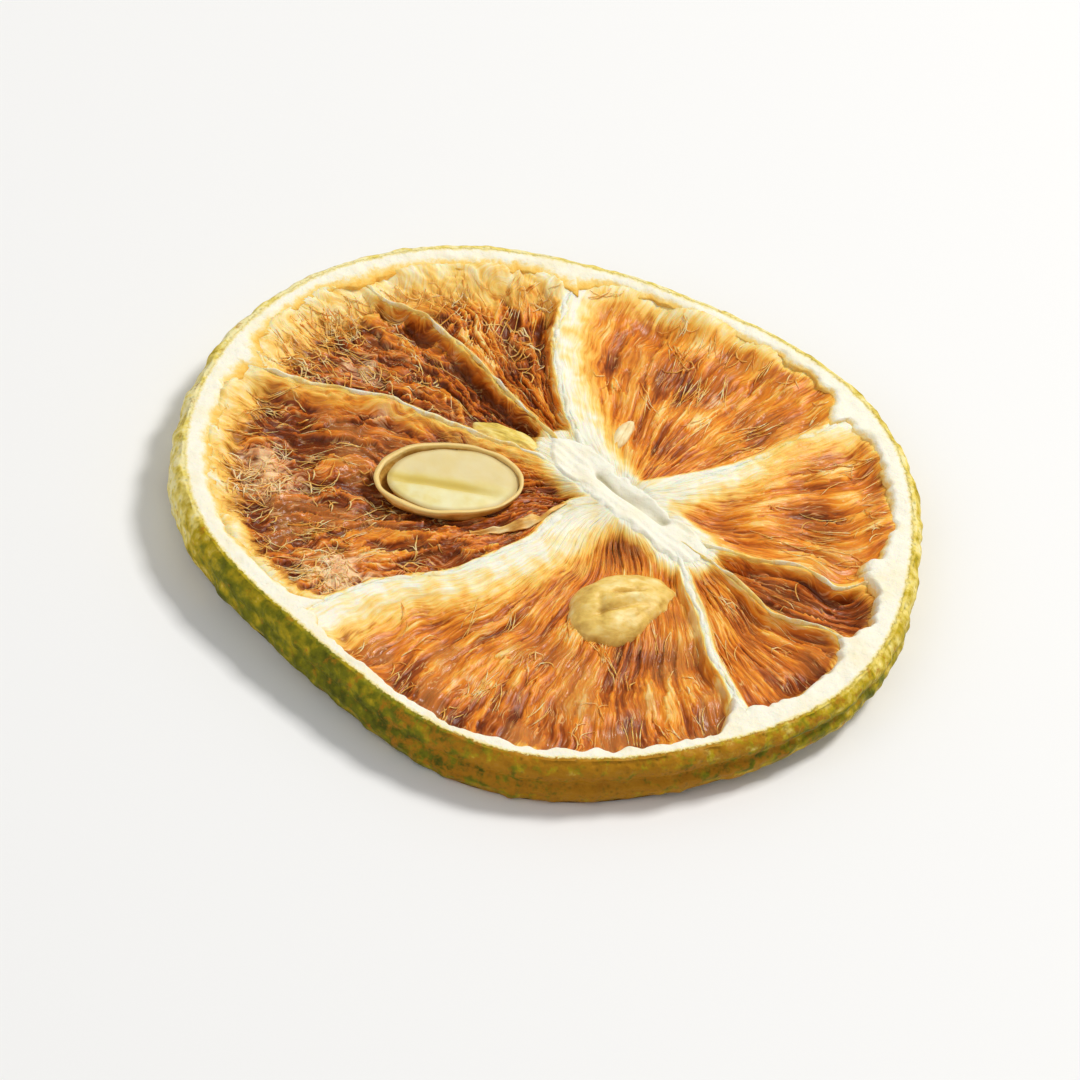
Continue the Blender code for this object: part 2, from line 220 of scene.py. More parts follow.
def makeRoute(route, softness=0.02):
    # a wall's route with its corners eased
    way = np.linspace(0, 1, 401)
    ways, bearings = zip(*route)
    wide = np.interp(np.linspace(-0.2, 1.2, 561), ways, bearings)
    weights = np.exp(-((np.linspace(-3, 3, int(6 * softness * 400) + 1)) ** 2) / 2)
    eased = np.convolve(wide, weights / weights.sum(), mode="same")[80:481]
    return way, np.radians(eased)


routes = [makeRoute(item["route"]) for item in walls]


def crestBearing(index, way):
    turns, index = divmod(index, len(walls))
    return np.interp(way, *routes[index]) + 2 * np.pi * turns


def lineDistance(x, y, ends):
    first, last = np.array(ends) + np.array(sliceForm["core"])
    along = last - first
    offset = np.stack([x - first[0], y - first[1]], axis=1)
    part = np.clip(offset @ along / (along @ along), 0, 1)
    return np.hypot(*(offset - part[:, None] * along).T)


def curlLift(x, y):
    wave = 0.5 - 0.5 * np.cos(3 * (np.arctan2(y, x) - math.radians(sliceForm["lowBearing"])))
    away = np.hypot(x, y) / sliceForm["faceRadius"]
    return sliceForm["curl"] * np.clip(wave - sliceForm["flatShare"], 0, 1) * away**2


def faceHeight(x, y):
    return sliceForm["rimThickness"] + sliceForm["curlOnTop"] * curlLift(x, y)


def pulpWay(index, across):
    # share of the way from core to rim at which a segment's pulp ends
    start = crestBearing(index, pithWay)
    end = crestBearing(index + 1, pithWay)
    gap = pithWay * reach((start + end) / 2) * (end - start)
    bearing = start + (end - start) * across
    corners = segments[index]["corners"]
    width = segments[index]["pith"] + corners[0] * bell(across * gap, cornerReach)
    width = width + corners[1] * bell((1 - across) * gap, cornerReach)
    return bearing, 1 - width / reach(bearing)


def makePithEdge():
    across = np.linspace(0, 1, 240, endpoint=False)
    pairs = [pulpWay(index, across) for index in range(len(segments))]
    bearing = np.concatenate([pair[0] for pair in pairs])
    return bearing, np.concatenate([pair[1] for pair in pairs])


pithEdge = makePithEdge()


def coreHollow(x, y):
    away = lineDistance(x, y, coreForm["hollowEnds"])
    return coreForm["hollowDepth"] * bell(away, coreForm["hollowHalfWidth"])


# Meshes start as a plain slab, ball or ring. Each helper gives the mesh and where its vertices lie on it.
def readPoints(mesh):
    flat = np.empty(3 * len(mesh.vertices))
    mesh.vertices.foreach_get("co", flat)
    return flat.reshape(-1, 3).T


def meshFrom(cage, name):
    mesh = bpy.data.meshes.new(name)
    cage.to_mesh(mesh)
    cage.free()
    return mesh


def plainSlab(name, rows, columns):
    cage = bmesh.new()
    bmesh.ops.create_grid(cage, x_segments=rows, y_segments=columns, size=0.5)
    bmesh.ops.solidify(cage, geom=cage.faces[:], thickness=1.0)
    mesh = meshFrom(cage, name)
    x, y, z = readPoints(mesh)
    return mesh, x + 0.5, y + 0.5, z > -0.5


def plainBall(name, around, along):
    cage = bmesh.new()
    bmesh.ops.create_uvsphere(cage, u_segments=around, v_segments=along, radius=1)
    mesh = meshFrom(cage, name)
    return mesh, readPoints(mesh)


def plainRing(name, turnSteps, profileSteps):
    # a ring's profile is counted from its outermost point, up and over
    cage = bmesh.new()
    bmesh.ops.create_circle(cage, segments=profileSteps, radius=0.3)
    bmesh.ops.rotate(cage, verts=cage.verts, matrix=Matrix.Rotation(math.pi / 2, 3, "X"))
    bmesh.ops.translate(cage, verts=cage.verts, vec=(1, 0, 0))
    turn = {"axis": (0, 0, 1), "cent": (0, 0, 0), "angle": 2 * math.pi, "steps": turnSteps}
    bmesh.ops.spin(cage, geom=cage.edges[:], use_merge=True, **turn)
    bmesh.ops.recalc_face_normals(cage, faces=cage.faces)
    mesh = meshFrom(cage, name)
    x, y, z = readPoints(mesh)
    turn = np.rint(np.arctan2(y, x) / (2 * np.pi) * turnSteps) / turnSteps
    part = np.rint(np.arctan2(z, np.hypot(x, y) - 1) / (2 * np.pi) * profileSteps) % profileSteps
    return mesh, turn, part.astype(int)


def fillMesh(mesh, x, y, z):
    mesh.vertices.foreach_set("co", (np.stack([x, y, z], axis=1) * mm).ravel())
    mesh.update()


def addValues(mesh, name, values):
    layer = mesh.attributes.new(name, "FLOAT", "POINT")
    layer.data.foreach_set("value", np.clip(values, 0, 1))


def addVectors(mesh, name, *axes):
    layer = mesh.attributes.new(name, "FLOAT_VECTOR", "POINT")
    layer.data.foreach_set("vector", np.stack(axes, axis=1).ravel())


def finishPiece(name, mesh, material, slotName, *nodes):
    piece = bpy.data.objects.new(name, mesh)
    bpy.context.scene.collection.objects.link(piece)
    mesh.materials.clear()
    mesh.materials.append(material)
    mesh.shade_smooth()
    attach(piece, "root")
    if nodes:
        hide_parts(*nodes)
    return piece


# Materials are built from these few nodes.
def startMaterial(name):
    material = bpy.data.materials.new(name)
    material.use_nodes = True
    return material, material.node_tree, material.node_tree.nodes["Principled BSDF"]


def attributeNode(tree, name, output="Fac"):
    node = tree.nodes.new("ShaderNodeAttribute")
    node.attribute_name = name
    return node.outputs[output]


def objectPlace(tree):
    # in millimetres
    place = tree.nodes.new("ShaderNodeTexCoord")
    return stretch(place.outputs["Object"], (1 / mm, 1 / mm, 1 / mm))


def plug(value, socket):
    if isinstance(value, bpy.types.NodeSocket):
        value.id_data.links.new(value, socket)
    elif isinstance(value, tuple) and len(value) == 3 and len(socket.default_value) == 4:
        socket.default_value = (*value, 1)
    else:
        socket.default_value = value


def makeNode(kind, **inputs):
    # the node goes where the first linked value comes from
    source = next(value for value in inputs.values() if isinstance(value, bpy.types.NodeSocket))
    node = source.id_data.nodes.new("ShaderNode" + kind)
    for name, value in inputs.items():
        plug(value, node.inputs[name])
    return node


def stretch(vector, scale):
    return makeNode("Mapping", Vector=vector, Scale=scale).outputs["Vector"]


def noiseNode(vector, size, detail=3.0, roughness=0.55, distortion=0.0):
    values = {"Scale": 1 / size, "Detail": detail, "Roughness": roughness, "Distortion": distortion}
    return makeNode("TexNoise", Vector=vector, **values).outputs["Fac"]


def mathNode(operation, first, second=0.0, third=0.0):
    source = second if isinstance(first, float) else first
    node = source.id_data.nodes.new("ShaderNodeMath")
    node.operation = operation
    for socket, value in zip(node.inputs, (first, second, third)):
        plug(value, socket)
    return node.outputs[0]


def remap(value, low, high, newLow=0.0, newHigh=1.0):
    limits = {"From Min": low, "From Max": high, "To Min": newLow, "To Max": newHigh}
    return makeNode("MapRange", Value=value, **limits).outputs["Result"]


def vary(value, texture, swing):
    # a texture moves the value up and down
    return mathNode("ADD", value, remap(texture, 0.3, 0.7, -swing, swing))


def mixNode(factor, first, second):
    node = factor.id_data.nodes.new("ShaderNodeMix")
    node.data_type = "RGBA"
    for index, value in zip((0, 6, 7), (factor, first, second)):
        plug(value, node.inputs[index])
    return node.outputs[2]


def rampNode(value, *stops):
    node = makeNode("ValToRGB", Fac=value)
    elements = node.color_ramp.elements
    while len(elements) < len(stops):
        elements.new(1)
    for element, (position, colour) in zip(elements, stops):
        element.position = position
        element.color = (*colour, 1)
    return node.outputs["Color"]


def bumpNode(height, strength, depth, under=None):
    # depth is in millimetres
    node = makeNode("Bump", Height=height, Strength=strength, Distance=depth * mm)
    if under is not None:
        plug(under, node.inputs["Normal"])
    return node.outputs["Normal"]


def finishMaterial(shader, colour, rough, specular, glow, normal=None):
    # glow is light that travels through the dried fruit: its weight, its reach by colour and its scale
    weight, radius, scale = glow
    shader.inputs["Subsurface Weight"].default_value = weight
    shader.inputs["Subsurface Radius"].default_value = radius
    shader.inputs["Subsurface Scale"].default_value = scale * mm
    shader.inputs["Specular IOR Level"].default_value = specular
    plug(colour, shader.inputs["Base Color"])
    plug(rough, shader.inputs["Roughness"])
    if normal is not None:
        plug(normal, shader.inputs["Normal"])


pulpLook = {
    "stops": (
        (0.00, (0.15, 0.026, 0.003)),
        (0.2, (0.32, 0.066, 0.006)),
        (0.42, (0.58, 0.15, 0.013)),
        (0.62, (0.8, 0.255, 0.018)),
        (0.82, (0.92, 0.43, 0.055)),
        (1.00, (0.97, 0.68, 0.25)),
    ),
    "paleStops": (
        (0.22, (0.86, 0.4, 0.045)),
        (0.48, (0.94, 0.6, 0.14)),
        (0.76, (0.94, 0.78, 0.4)),
        (1.00, (0.92, 0.88, 0.72)),
    ),
    "thread": (0.95, 0.6, 0.22),
    "gap": (0.2, 0.045, 0.01),
    "film": (0.54, 0.205, 0.05),
    "froth": (0.95, 0.66, 0.37),
    "streakWidth": 0.24,
    "streakLength": 8.0,
    "wideStreak": 0.75,
    "roughness": (0.34, 0.75),  # of the glassy pulp and of its pale edge
    "glow": (0.35, (1.0, 0.3, 0.08), 0.5),
}


def makePulpMaterial():
    material, tree, shader = startMaterial("dried_pulp")
    grain = attributeNode(tree, "grain", "Vector")
    pale = attributeNode(tree, "pale")
    film = attributeNode(tree, "film")
    along = stretch(grain, (1, 1 / pulpLook["streakLength"], 1))
    fine = noiseNode(along, pulpLook["streakWidth"], 3, 0.6, 0.3)
    wide = noiseNode(along, pulpLook["wideStreak"], 3, 0.55, 0.3)
    blotches = noiseNode(objectPlace(tree), 2.2, 3, 0.55)
    # the colour value carries painted shade in the pulp's hollows and painted light up its flanks
    value = vary(attributeNode(tree, "toneAndPaintedShading"), fine, 0.15)
    value = vary(value, wide, 0.22)
    value = vary(value, blotches, 0.12)
    colour = rampNode(value, *pulpLook["stops"])

    # fine pale threads and dark gaps run where these noises cross their middle value
    threads = noiseNode(along, 0.30, 1, 0.5, 0.5)
    threads = remap(mathNode("ABSOLUTE", mathNode("SUBTRACT", threads, 0.5)), 0.0, 0.035, 1, 0)
    patches = noiseNode(objectPlace(tree), 1.6, 2, 0.5)
    threads = mathNode("MULTIPLY", threads, remap(patches, 0.45, 0.62, 0.05, 0.75))
    gaps = remap(mathNode("ABSOLUTE", mathNode("SUBTRACT", wide, 0.5)), 0.0, 0.03, 0.35, 0)
    colour = mixNode(gaps, colour, pulpLook["gap"])
    colour = mixNode(threads, colour, pulpLook["thread"])
    colour = mixNode(remap(film, 0.0, 1.0, 0.0, 0.55), colour, pulpLook["film"])

    flecks = vary(attributeNode(tree, "froth"), fine, 0.35)
    colour = mixNode(remap(flecks, 0.20, 0.70, 0, 0.9), colour, pulpLook["froth"])

    edge = vary(pale, fine, 0.16)
    edge = vary(edge, wide, 0.12)
    edge = mathNode("MULTIPLY", edge, remap(pale, 0.0, 0.15))
    colour = mixNode(remap(edge, 0.06, 0.40), colour, rampNode(edge, *pulpLook["paleStops"]))
    rough = remap(edge, 0.2, 0.9, *pulpLook["roughness"])
    rough = mathNode("SUBTRACT", rough, remap(film, 0, 1, 0, 0.16))
    normal = bumpNode(wide, 0.8, 0.20)
    normal = bumpNode(fine, 0.45, 0.06, normal)
    normal = bumpNode(threads, 0.6, 0.04, normal)
    finishMaterial(shader, colour, rough, 0.16, pulpLook["glow"], normal)
    return material


pithLook = {
    "white": (0.93, 0.89, 0.74),
    "cream": (0.9, 0.79, 0.5),
    # painted shade, for the low places of the fibre bump
    "fibreShade": (0.64, 0.57, 0.38),
    # painted shade for the core's hollow
    "hollow": (0.56, 0.51, 0.34),
    "skinDark": (0.075, 0.08, 0.004),
    "skinGreen": (0.2, 0.19, 0.006),
    "skinOlive": (0.54, 0.38, 0.012),
    "skinYellow": (0.86, 0.69, 0.17),
    "skinPale": (0.91, 0.8, 0.4),
    "brown": (0.45, 0.18, 0.008),
    "glandSize": 0.5,
}


def pithColour(tree, place):
    # white and cream, painted shade in grey where the fibre bump sinks, golden where it frays into the pulp
    cloud = noiseNode(place, 3.0, 4, 0.6)
    fibre = noiseNode(place, 0.35, 4, 0.65, 0.6)
    colour = mixNode(remap(cloud, 0.48, 0.75, 0, 0.7), pithLook["white"], pithLook["cream"])
    colour = mixNode(remap(fibre, 0.38, 0.22, 0, 0.5), colour, pithLook["fibreShade"])
    tint = vary(attributeNode(tree, "tint"), fibre, 0.12)
    gold = rampNode(mathNode("SUBTRACT", 1.0, tint), *pulpLook["paleStops"])
    colour = mixNode(remap(tint, 0.12, 0.35), colour, gold)
    return colour, fibre


def makePithMaterial():
    material, tree, shader = startMaterial("dried_pith")
    place = objectPlace(tree)
    colour, fibre = pithColour(tree, place)
    # painted shade in the core's hollow, darkest where it is deepest
    colour = mixNode(remap(attributeNode(tree, "hollow"), 0.3, 0.9), colour, pithLook["hollow"])
    normal = bumpNode(noiseNode(place, 0.9, 4, 0.6), 0.6, 0.25)
    normal = bumpNode(fibre, 0.7, 0.10, normal)
    finishMaterial(shader, colour, 0.75, 0.25, (0.3, (1.0, 0.7, 0.4), 0.6), normal)
    return material


def makePeelMaterial():
    material, tree, shader = startMaterial("dried_peel")
    place = objectPlace(tree)
    pith, fibre = pithColour(tree, place)
    mottle = noiseNode(place, 1.6, 5, 0.65, 0.3)
    tone = mathNode("ADD", attributeNode(tree, "tone"), remap(mottle, 0.3, 0.7, -0.26, 0.24))
    skin = rampNode(
        tone,
        (0.0, pithLook["skinDark"]),
        (0.32, pithLook["skinGreen"]),
        (0.62, pithLook["skinOlive"]),
        (0.86, pithLook["skinYellow"]),
        (1.0, pithLook["skinPale"]),
    )
    spots = noiseNode(place, 0.9, 4, 0.7)
    spots = mathNode("ADD", spots, remap(attributeNode(tree, "brown"), 0, 1, -0.12, 0.16))
    skin = mixNode(remap(spots, 0.48, 0.62, 0, 0.85), skin, pithLook["brown"])
    glands = makeNode("TexVoronoi", Vector=place, Scale=1 / pithLook["glandSize"]).outputs["Distance"]
    skin = mixNode(remap(glands, 0.35, 0.0, 0, 0.5), skin, pithLook["skinDark"])
    edge = vary(attributeNode(tree, "skin"), fibre, 0.12)
    border = remap(edge, 0.44, 0.56)
    rind = mixNode(remap(edge, 0.25, 0.45, 0, 0.8), pith, pithLook["skinYellow"])
    colour = mixNode(border, rind, skin)
    rough = remap(border, 0, 1, 0.75, 0.5)
    normal = bumpNode(noiseNode(place, 0.7, 4, 0.6), 0.6, 0.2)
    normal = bumpNode(mathNode("MULTIPLY", glands, border), 0.8, 0.12, normal)
    normal = bumpNode(fibre, 0.6, 0.08, normal)
    finishMaterial(shader, colour, rough, 0.1, (0.2, (1.0, 0.7, 0.4), 0.6), normal)
    return material


strandLooks = {
    "dried_strands": ((0.76, 0.27, 0.03), (0.94, 0.52, 0.13), (0.97, 0.78, 0.42)),
    "froth_strands": ((0.84, 0.40, 0.12), (0.94, 0.60, 0.26), (0.96, 0.78, 0.48)),
}


def makeStrandMaterial(name):
    material, tree, shader = startMaterial(name)
    tint = noiseNode(objectPlace(tree), 1.0, 3, 0.6)
    colour = rampNode(tint, *zip((0.36, 0.5, 0.64), strandLooks[name]))
    finishMaterial(shader, colour, 0.5, 0.15, (0.3, (1.0, 0.5, 0.2), 0.3))
    return material


pulpMaterial = makePulpMaterial()
pithMaterial = makePithMaterial()
peelMaterial = makePeelMaterial()
strandMaterial = makeStrandMaterial("dried_strands")
frothMaterial = makeStrandMaterial("froth_strands")
print("materials ready")

# Pulp: a slab for each segment, from crest to crest and from the core to just under the pith.
pulpMesh = {
    "spacing": 0.158,
    "firstWay": 0.05,
    "underPith": 0.9,
    "sacWidth": 0.75,
    "sacLength": 7.0,
    "sacHeight": 0.22,
    "ridge": 0.07,
    "fibre": 0.10,
    "lumps": 0.35,
    "lumpSize": 3.5,
    "flare": 0.9,  # how much wider the flanks' tops are at the core
    "flareReach": 5.5,
    "paleFall": 1.55,
    "fringePale": 0.68,
}


def spread(x, y, places):
    heights = [high * np.exp(-(((x - a) ** 2 + (y - b) ** 2) / size**2)) for a, b, size, high in places]
    return np.max(heights, axis=0)


def pulpRelief(index, across, radius):
    # across is in millimetres as at the rim, so the sacs narrow towards the core
    tangle = segments[index]["tangle"]
    seed = 10.0 * index
    drift = lumps(across, radius, 5.0, seed + 1) * (0.1 + 1.8 * tangle)
    ripple = lumps(across, radius, 1.3, seed + 2) * (0.04 + 0.45 * tangle)
    sideways = across + drift + ripple
    outwards = radius + lumps(across, radius, 2.0, seed + 3) * (0.5 + 1.2 * tangle)
    length = pulpMesh["sacLength"] * (1 - 0.65 * tangle)
    nearest, gap, value = cells(sideways / pulpMesh["sacWidth"], outwards / length, seed)
    sacs = pulpMesh["sacHeight"] * (value - 0.5) - 0.22 * np.clip(0.75 - nearest, 0, 1)
    sacs = sacs + pulpMesh["ridge"] * bell(gap, 0.13)
    fine = lumps(sideways * 4.4, radius * 0.27, 1.0, seed + 4)
    hair = lumps(sideways * 8.0, radius * 0.45, 1.0, seed + 5)
    strand = 1 - np.abs(lumps(sideways * 2.4, radius * 0.17, 1.0, seed + 6)) * 2.2
    fibres = pulpMesh["fibre"] * (0.6 * fine + 0.4 * hair + 0.7 * np.clip(strand, -0.3, 1))
    strength = 0.50 + 0.85 * tangle
    return sacs * strength, fibres * strength


def wallWhite(item, way):
    return item["bleach"] * (1 - wallFade.get(item["name"], 0) * bell(way - 0.64, 0.16))


def makePulp(index):
    segment = segments[index]
    name = "pulp_" + segment["name"]
    middle = (crestBearing(index, pithWay) + crestBearing(index + 1, pithWay)) / 2
    opening = crestBearing(index + 1, pithWay) - crestBearing(index, pithWay)
    outer = pithWay * reach(middle)
    width = outer * opening
    rows = int(outer / pulpMesh["spacing"])
    columns = int(width / pulpMesh["spacing"])
    mesh, along, across, upper = plainSlab(name, rows, columns)
    edge = pulpWay(index, across)[1] + pulpMesh["underPith"] / outer
    way = pulpMesh["firstWay"] + (edge - pulpMesh["firstWay"]) * along
    start = crestBearing(index, way)
    end = crestBearing(index + 1, way)
    bearing = start + (end - start) * across
    radius = way * reach(bearing)
    x, y = fromCore(radius, bearing)

    # a pale flank rises to the wall on each side, and to the core
    gap = way * reach((start + end) / 2) * (end - start)
    before = across * gap
    flare = pulpMesh["flare"] * bell(radius, pulpMesh["flareReach"])
    coreRise = slope(lineDistance(x, y, coreForm["ends"]), coreForm["halfWidth"], coreForm["flank"])
    ridge = coreRise
    wallPale = np.zeros_like(x)
    for item, side, away in ((walls[index], 1, before), (walls[(index + 1) % len(walls)], 0, gap - before)):
        ridge = np.maximum(ridge, slope(away, item["crest"] + flare * item["bleach"], item["flanks"][side]))
        white = wallWhite(item, way) * slope(away, 0.5 * item["crest"] + flare, item["pale"][side])
        wallPale = np.maximum(wallPale, white)
    wallPale = np.maximum(coreRise, wallPale ** pulpMesh["paleFall"])
    toPith = (edge - way) * outer - pulpMesh["underPith"]
    rim = 1 - smoothStep(toPith, 0, 1.2 + 1.8 * segment["rise"])

    sacs, fibres = pulpRelief(index, across * width, radius)
    relief = sacs * (1 - 0.65 * ridge) * (1 - 0.7 * rim) + fibres * (1 - 0.4 * ridge)
    relief = relief * (1 - 0.9 * coreRise)
    spots = spread(x, y, froth) * (0.75 + 0.5 * lumps(x, y, 0.9, 64.0)) * (1 - rim)
    stainedAndShaded = spread(x, y, stainsAndShade) * (0.85 + 0.4 * lumps(x, y, 1.1, 65.0))
    relief = relief + 0.18 * spots
    share = np.clip(way / edge, 0, 1)
    sink = segment["sink"] * (0.7 + 0.3 * share)
    swell = pulpMesh["lumps"] * lumps(x, y, pulpMesh["lumpSize"], 2.0)
    pulp = sink * (1 - (0.3 + 0.6 * segment["rise"]) * rim) - swell * (1 - ridge) - relief
    crest = sliceForm["crestDrop"] + 0.10 + 0.08 * lumps(x, y, 2.0, 5.0) - relief
    crest = crest + 0.12 * smoothStep(coreRise, 0.90, 1)
    dive = 0.9 * np.clip(-toPith, 0, 1)
    top = faceHeight(x, y) - (pulp + (crest - pulp) * ridge) - coreHollow(x, y) - dive
    underSwell = pulpMesh["lumps"] * lumps(x, y, pulpMesh["lumpSize"], 21.0)
    underPulp = sliceForm["underSink"] - sliceForm["underRelief"] * (underSwell + relief) * (1 - ridge)
    under = curlLift(x, y) + underPulp + (sliceForm["underCrest"] + 0.1 - underPulp) * ridge + 0.3 * dive
    fillMesh(mesh, x, y, np.where(upper, top, under))

    # the pulp's colour value, with painted shade and painted light in it: darker where its surface sinks,
    # lighter up the flanks to the walls and the core as painted light against the shade that falls there, and
    # darker towards the pith
    tone = segment["tone"] + 1.5 * relief + 0.35 * swell + 0.14 * lumps(x, y, 5.0, 60.0) + 0.40 * ridge
    # the stains darken the pulp; the first of them is painted shade in the recess between the core and the
    # whole seed
    tone = tone - 0.30 * stainedAndShaded
    addValues(mesh, "toneAndPaintedShading", tone - 0.16 * smoothStep(share, 0.7, 1.0))
    fray = np.interp(across, (0, 1), segment["fringe"])
    fringe = bell(np.clip(toPith, 0, None), 0.25 + fray)
    fringe = fringe * np.clip(0.1 + fray, 0, 1)
    pale = np.maximum(wallPale, pulpMesh["fringePale"] * fringe) + 0.2 * wallPale * fringe - 0.7 * stainedAndShaded
    addValues(mesh, "froth", spots)
    patchy = 0.4 * lumps(x, y, 1.3, 61.0) + 0.3 * lumps(x, y, 0.6, 66.0)
    addValues(mesh, "pale", pale * (1 + patchy * (1 - 0.7 * pale)))
    glassy = smoothStep(lumps(x, y, 3.2, 62.0), 0.05, 0.55) * smoothStep(share, 0.35, 0.75)
    addValues(mesh, "film", (segment["film"] * glassy + stainedAndShaded) * (1 - wallPale))
    warp = (0.1 + 0.8 * segment["tangle"]) * lumps(x, y, 1.8, 33.0)
    addVectors(mesh, "grain", across * width + warp, radius, np.full_like(x, 5.0 * index))
    return finishPiece(name, mesh, pulpMaterial, "pulp", "lemon_slice")


pulpPieces = [makePulp(index) for index in range(len(segments))]
print("pulp made")

# Peel and pith: one ring from the pulp's edge over the cut face, down the band and back underneath.
ringForm = {
    "columns": 900,
    "topSteps": 17,
    "bandSteps": 22,
    "wallSteps": 2,
    "bulge": 0.30,
    "edgeInset": 0.30,
    "bandLumps": 0.10,
    "groove": 0.45,
    "grooveBearing": 300,
    "pithLumps": 0.06,
    "glandSize": 0.85,
    "glandDepth": 0.16,
    "skinWidth": 0.55,
}
skinTones = (  # bearing and how yellow the skin is there
    (0, 0.76), (60, 0.80), (110, 0.86), (160, 0.95), (195, 0.88),
    (212, 0.42), (240, 0.29), (275, 0.42), (310, 0.50), (340, 0.66),
)
skinBrown = {"bearing": 288, "spread": 38}


def makeRoundTable(value):
    # one of the segments' values, by bearing, for the ring
    part = np.array([0.15, 0.5, 0.85])
    bearings = [pulpWay(index, part)[0] for index in range(len(segments))]
    values = [np.interp(part, (0, 1), np.broadcast_to(item[value], 2)) for item in segments]
    return np.concatenate(bearings), np.concatenate(values)


def makeRing():
    top = ringForm["topSteps"]
    half = ringForm["bandSteps"] // 2
    steps = ringForm["wallSteps"]
    # inward runs from 0 at the rim to 1 at the pulp's edge
    outside = np.zeros(half)
    over = np.linspace(0, 1, top + 1)
    back = np.linspace(1, 0, top + 1)
    inward = np.concatenate([outside, over, np.ones(steps), back, outside[1:]])
    # and level from 1 on the upper face to -1 on the lower one
    rising = np.linspace(0, 1, half, endpoint=False)
    returning = np.linspace(-1, 0, half, endpoint=False)[1:]
    down = np.linspace(1, -1, steps + 2)[1:-1]
    level = np.concatenate([rising, np.ones(top + 1), down, -np.ones(top + 1), returning])
    mesh, turn, part = plainRing("peel", ringForm["columns"], len(inward))
    inward = inward[part]
    level = level[part]
    bearing = turn * 2 * np.pi
    edgeWay = byBearing(pithEdge, bearing)
    full = reach(bearing)
    rimX = np.cos(bearing) * full
    rimY = np.sin(bearing) * full
    jag = lumps(rimX, rimY, 1.6, 90.0) * 0.25 + lumps(rimX, rimY, 0.6, 91.0) * 0.10
    width = (1 - edgeWay) * full + 0.35 + jag
    radius = full - width * inward
    x, y = fromCore(radius, bearing)
    around = np.arctan2(y, x)
    fromRim = width * inward

    # the band stands out from the cut face's outline
    onBand = inward == 0
    near = 0.5 + 0.5 * np.cos(around - math.radians(ringForm["grooveBearing"]))
    fold = ringForm["groove"] * near**3 * bell(level - 0.05, 0.22)
    height = level * sliceForm["rimThickness"] / 2
    outline = np.cos(around) * sliceForm["faceRadius"], np.sin(around) * sliceForm["faceRadius"]
    points = zip(*((axis / ringForm["glandSize"]).tolist() for axis in (*outline, height)))
    pebble = np.array([noise.voronoi(point)[0][0] for point in points])
    dents = ringForm["glandDepth"] * (0.5 - pebble)
    wrinkle = 0.10 * lumps(x, y + 0.6 * height, 1.1, 31.0)
    stand = ringForm["bulge"] * (1 - level**2) - ringForm["edgeInset"] * np.abs(level) ** 6 - fold
    stand = stand + ringForm["bandLumps"] * lumps(x, y, 3.0, 30.0) + wrinkle - dents
    inset = np.where(np.abs(level) == 1, -ringForm["edgeInset"] * np.exp(-fromRim / 0.3), 0)
    stand = np.where(onBand, stand, inset)
    x = x + stand * np.cos(around)
    y = y + stand * np.sin(around)

    # the pith's slope down to the pulp
    ragged = inward + 0.05 * lumps(x, y, 0.8, 92.0)
    soft = np.clip(byBearing(fringeTable, bearing) / 2, 0, 1)
    foot = smoothStep(ragged, 0.84 - 0.40 * soft, 1.04)
    sinks = byBearing(sinkTable, bearing)
    pith = ringForm["pithLumps"] * lumps(x, y, 4.0, 8.0) + 0.05 * lumps(x, y, 0.9, 12.0)
    rises = byBearing(riseTable, bearing)
    footDrop = foot * (sinks * (0.75 - 0.66 * rises) + 0.12)
    dropTop = pith * (1 - 0.6 * soft * foot) + footDrop + 0.10 * np.exp(-fromRim / 0.25)
    top = faceHeight(x, y) - dropTop
    under = curlLift(x, y) + np.clip(pith, 0, 1) * foot + foot * 0.5
    z = under + (top - under) * (level + 1) / 2
    fillMesh(mesh, x, y, z)

    skin = np.where(onBand, 1.0, 0.5 + 0.5 * (ringForm["skinWidth"] - fromRim) / 0.6)
    addValues(mesh, "skin", skin)
    bearings, tones = zip(*skinTones)
    degrees = np.degrees(around)
    # painted shade darkens the skin in the groove along the band
    tone = np.interp(degrees, bearings, tones, period=360) - 0.25 * (np.abs(level) < 0.5) * near**3
    addValues(mesh, "tone", tone + 0.5 * np.where(onBand, 0.35 - pebble, 0) + 0.1)
    fromBrown = np.abs((degrees - skinBrown["bearing"] + 180) % 360 - 180)
    addValues(mesh, "brown", bell(fromBrown, skinBrown["spread"]))
    addValues(mesh, "tint", smoothStep(ragged, 0.80 - 0.45 * soft, 1.15) * 0.75)
    return finishPiece("peel_and_pith", mesh, peelMaterial, "peel", "lemon_slice")


sinkTable = makeRoundTable("sink")
fringeTable = makeRoundTable("fringe")
riseTable = makeRoundTable("rise")
ring = makeRing()
print("peel and pith made")

# Walls between the segments: thin plates whose upper edge shows as a pale line.
wallForm = {
    "around": 24,
    "along": 170,
    "intoPith": 0.35,  # share of the pith's width
    "proud": (0.08, -0.06),  # of a thin wall and of one with a white flank
    "thin": 1.05,
    "overCore": 0.06,  # share of the way that it runs in under the core's edge
    "startDrop": 0.5,
    "wave": 0.12,
}


